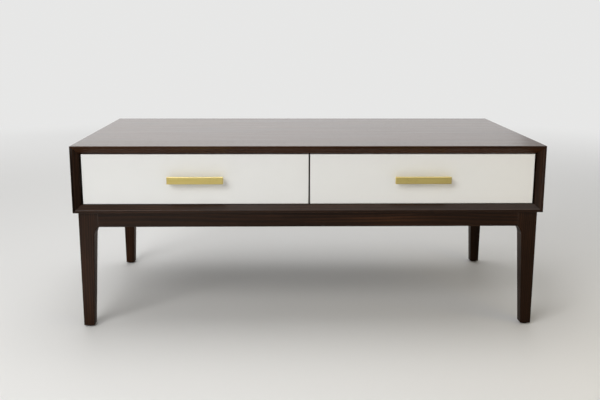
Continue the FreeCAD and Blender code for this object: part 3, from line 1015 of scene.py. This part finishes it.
@dataclass
class Base(Assembly):
    """The legs, aprons, stretcher, corner blocks and glides."""

    def dress(self) -> None:
        """Ease and finish the base's boards, fasteners and glides."""
        ends = ("front", "rear")
        self.wood(
            STAINED_WOOD,
            *(Board(f"{end}_{side.value}_leg", Grain.UPRIGHT) for end in ends for side in Side),
            *(Board(f"{end}_apron", Grain.SIDEWAYS) for end in ends),
            *(Board(f"{side.value}_apron", Grain.INWARDS) for side in Side),
            Board("centre_stretcher", Grain.INWARDS),
        )
        self.wood(BARE_HARDWOOD, Board("corner_blocks", Grain.SIDEWAYS))
        self.solid(["base_screws"], ZINC_STEEL.material, ZINC_STEEL.slot)
        self.solid(["leg_glides"], GLIDE_NYLON.material, GLIDE_NYLON.slot)


@dataclass
class Drawer(Assembly):
    """One drawer: its white front, its box and its pull."""

    side: Side = Side.LEFT

    def dress(self) -> None:
        """Ease and finish the drawer's boards, and finish its pull and screws."""
        name = self.side.value
        front = f"{name}_drawer_front"
        self.paint(self.easing.board(front), WHITE_LACQUER.material(front), WHITE_LACQUER.slot)
        self.wood(
            BOX_WOOD,
            Board(f"{name}_drawer_box_front", Grain.SIDEWAYS),
            Board(f"{name}_drawer_back", Grain.SIDEWAYS),
            Board(f"{name}_drawer_end_side", Grain.INWARDS),
            Board(f"{name}_drawer_centre_side", Grain.INWARDS),
        )
        self.wood(BOX_PLY, Board(f"{name}_drawer_bottom", Grain.SIDEWAYS))
        pull = [f"{name}_pull_bar", f"{name}_pull_posts"]
        self.solid(pull, BRUSHED_BRASS.material, BRUSHED_BRASS.slot)
        screws = [f"{name}_{kind}_screws" for kind in ("drawer_front", "drawer_rail", "pull")]
        self.solid(screws, ZINC_STEEL.material, ZINC_STEEL.slot)


@dataclass
class Slides(Assembly):
    """The two ball-bearing slides of one drawer."""

    side: Side = Side.LEFT

    def dress(self) -> None:
        """Finish the rails, cages and balls."""
        name = self.side.value
        ends = ("end", "centre")
        rails = [f"{name}_{end}_{rail}_rail" for end in ends for rail in ("case", "middle", "drawer")]
        cages = [f"{name}_{ring}_ball_cages" for ring in ("outer", "inner")]
        self.solid(rails + cages, ZINC_STEEL.material, ZINC_STEEL.slot)


@dataclass(frozen=True)
class Lamp:
    """A soft area light, which may be kept out of reflections."""

    name: str
    place: tuple[float, float, float]
    aim: tuple[float, float, float]
    size: tuple[float, float]
    watts: float
    colour: Colour = (1.0, 1.0, 1.0)
    in_gloss: bool = True

    def build(self) -> None:
        """Hang the lamp and point it."""
        light = bpy.data.lights.new(self.name, "AREA")
        light.shape = "RECTANGLE"
        light.size, light.size_y = self.size
        light.energy = self.watts
        light.color = self.colour
        lamp = bpy.data.objects.new(self.name, light)
        lamp.location = self.place
        lamp.visible_camera = False
        lamp.visible_glossy = self.in_gloss
        lamp.rotation_mode = "QUATERNION"
        lamp.rotation_quaternion = (Vector(self.aim) - Vector(self.place)).to_track_quat("-Z", "Y")
        bpy.context.scene.collection.objects.link(lamp)
        log.info("%s: %.1f W", self.name, self.watts)


@dataclass(frozen=True)
class Viewpoint:
    """The camera, at the place and angle that the table was seen from.

    The angles are in radians, and lengths in the picture are in pixels of its frame.
    """

    place: tuple[float, float, float] = (-0.0665, -2.1835, 0.7693)
    yaw: float = 0.02244
    pitch: float = 0.19158
    roll: float = -0.00269
    focal: float = 762.1
    axis_height: float = 176.35
    frame_size: tuple[int, int] = (600, 400)

    def build(self) -> None:
        """Make the camera and hand it to the scene."""
        ahead = Vector((
            math.sin(self.yaw) * math.cos(self.pitch),
            math.cos(self.yaw) * math.cos(self.pitch),
            -math.sin(self.pitch),
        ))
        level = Vector((math.cos(self.yaw), -math.sin(self.yaw), 0.0))
        down = ahead.cross(level)
        across = math.cos(self.roll) * level + math.sin(self.roll) * down
        up = math.sin(self.roll) * level - math.cos(self.roll) * down
        data = bpy.data.cameras.new("viewpoint")
        width, height = self.frame_size
        data.sensor_fit = "HORIZONTAL"
        data.lens = data.sensor_width * self.focal / width
        data.shift_y = (self.axis_height - height / 2) / width
        camera = bpy.data.objects.new("viewpoint", data)
        turn = Matrix((across, up, -ahead)).transposed()
        camera.matrix_world = Matrix.Translation(self.place) @ turn.to_4x4()
        bpy.context.scene.collection.objects.link(camera)
        bpy.context.scene.camera = camera
        log.info("camera: %.1f mm lens", data.lens)


@dataclass
class Studio:
    """A plain pale floor that fades into a pale background, with soft light.

    In gloss the floor shows painted shade, a dark warm tone, but for one painted pool of light
    at the front left, and the surround is dim in front, pale behind the table, less so to the
    right, and pale above it, more so to the right. The spans of the pool of light and the fade
    are in metres from the table's origin, and those of the surround are lengths of a unit vector.
    """

    floor_radius: float = 9.0
    floor_sides: int = 96
    floor_tone: Colour = (0.760, 0.755, 0.740)
    floor_roughness: float = 0.65
    mottle: Pattern = Pattern.even(3.0, 4.0, 0.6)
    mottle_share: float = 0.06
    fade: Span = (1.2, 4.5)
    # the dark warm painted shade that reflections of the floor show, and how much of it
    shaded_floor_in_gloss: Colour = (0.130, 0.095, 0.065)
    floor_dimming: float = 0.85
    patch_left: Span = (-1.20, -0.80)
    patch_right: Span = (-0.80, 0.30)
    patch_front: Span = (-1.85, -1.40)
    patch_back: Span = (-0.60, -0.20)

    background: Colour = (0.800, 0.800, 0.795)
    ambient: float = 0.42
    front_gloss: float = 0.18
    behind_rise: Span = (-0.35, 0.55)
    behind_turn: Span = (-0.25, 0.32)
    behind_loss: float = 0.30
    above_rise: Span = (0.45, 0.85)
    above_turn: Span = (-0.10, 0.02)
    above_level: float = 0.80
    above_gain: float = 1.90

    viewpoint: Viewpoint = field(default_factory=Viewpoint)
    lamps: tuple[Lamp, ...] = (
        Lamp("key_lamp", (-1.70, -2.75, 2.15), (0.00, -0.25, 0.35), (2.0, 1.6), 63.5),
        Lamp("top_lamp", (-0.40, 0.30, 2.90), (-0.10, 0.10, 0.40), (2.6, 2.0), 34.0),
        Lamp(
            "fill_lamp", (1.50, -1.15, 0.80), (0.45, -0.25, 0.35), (1.0, 0.9), 2.8,
            colour=(1.0, 0.70, 0.16), in_gloss=False,
        ),
        Lamp("back_lamp", (-0.65, 3.20, 1.25), (-0.40, 0.10, 0.50), (4.8, 1.6), 18.0),
    )

    def build(self) -> None:
        """Lay the floor, light the table and place the camera."""
        self._floor()
        self._world()
        for lamp in self.lamps:
            lamp.build()
        self.viewpoint.build()
        bpy.context.scene.view_settings.view_transform = "Standard"

    @staticmethod
    def _seen(shader: Shader) -> tuple[Wire, Wire]:
        """Tell what looks at a surface of the studio.

        Args:
            shader: the tree that the test is added to.

        Returns:
            1 for the camera's own rays, and 1 for rays that come off or through something glossy.
        """
        camera = shader.node("ShaderNodeLightPath", output="Is Camera Ray")
        glossy = camera.also("Is Glossy Ray").higher(camera.also("Is Transmission Ray"))
        return camera, glossy * (1.0 - camera)

    def _floor(self) -> None:
        """A wide disc: shadow near the table, background far from it, clear from below."""
        work = bmesh.new()
        bmesh.ops.create_circle(work, cap_ends=True, segments=self.floor_sides, radius=self.floor_radius)
        mesh = bpy.data.meshes.new("studio_floor")
        work.to_mesh(mesh)
        work.free()
        floor = bpy.data.objects.new("studio_floor", mesh)
        bpy.context.scene.collection.objects.link(floor)
        mesh.materials.append(self._floor_material())
        log.info("studio_floor: %.1f m across", 2 * self.floor_radius)

    def _floor_material(self) -> bpy.types.Material:
        """Write the floor's finish.

        Returns:
            The material.
        """
        material, shader = Shader.of_material("studio_floor")
        place = shader.place()
        x, y, _ = shader.axes(place)
        camera, glossy = self._seen(shader)
        far = (x * x + y * y).root().rise(*self.fade) * camera
        mottle = shader.noise(place, self.mottle)
        tone = shader.mix(self.mottle_share * mottle, self.floor_tone, self.background)
        # painted shade in reflections of the floor, with a painted pool of light at the front left
        right = x.rise(*self.patch_right) * y.rise(*self.patch_front)
        light_pool = x.rise(*self.patch_left) * (1.0 - right) * (1.0 - y.rise(*self.patch_back))
        tone = shader.mix(self.floor_dimming * glossy * (1.0 - light_pool), tone, self.shaded_floor_in_gloss)
        matte = {"Base Color": tone, "Roughness": self.floor_roughness}
        near = shader.node("ShaderNodeBsdfPrincipled", sockets=matte)
        pale = {"Color": (*self.background, 1.0), "Strength": 1.0}
        glow = shader.node("ShaderNodeEmission", sockets=pale)
        above = shader.node("ShaderNodeMixShader", sockets={0: far, 1: near, 2: glow})
        below = shader.node("ShaderNodeNewGeometry", output="Backfacing")
        clear = shader.node("ShaderNodeBsdfTransparent")
        shown = shader.node("ShaderNodeMixShader", sockets={0: below, 1: above, 2: clear})
        shader.node("ShaderNodeOutputMaterial", sockets={"Surface": shown})
        return material

    def _world(self) -> None:
        """A pale surround: plain to the camera, uneven in gloss, soft as light."""
        world = bpy.data.worlds.new("studio")
        world.use_nodes = True
        bpy.context.scene.world = world
        shader = Shader(world.node_tree)
        camera, glossy = self._seen(shader)
        right, back, up = shader.axes(shader.node("ShaderNodeTexCoord", output="Generated"))
        behind = back.rise(*self.behind_rise) * (1.0 - self.behind_loss * right.rise(*self.behind_turn))
        turn = self.above_level + self.above_gain * right.rise(*self.above_turn)
        pale = behind.higher(up.rise(*self.above_rise) * turn)
        reflected = self.front_gloss + (1.0 - self.front_gloss) * pale
        strength = camera + glossy * reflected + self.ambient * (1.0 - camera - glossy)
        light = {"Color": (*self.background, 1.0), "Strength": strength}
        sky = shader.node("ShaderNodeBackground", sockets=light)
        shader.node("ShaderNodeOutputWorld", sockets={"Surface": sky})


def main() -> None:
    """Dress the table and set up the studio."""
    logging.basicConfig(level=logging.INFO, format="%(name)s %(message)s")
    Case().dress()
    Base().dress()
    for side in Side:
        Drawer(side=side).dress()
        Slides(side=side).dress()
    Studio().build()


if __name__ == "__main__":
    main()
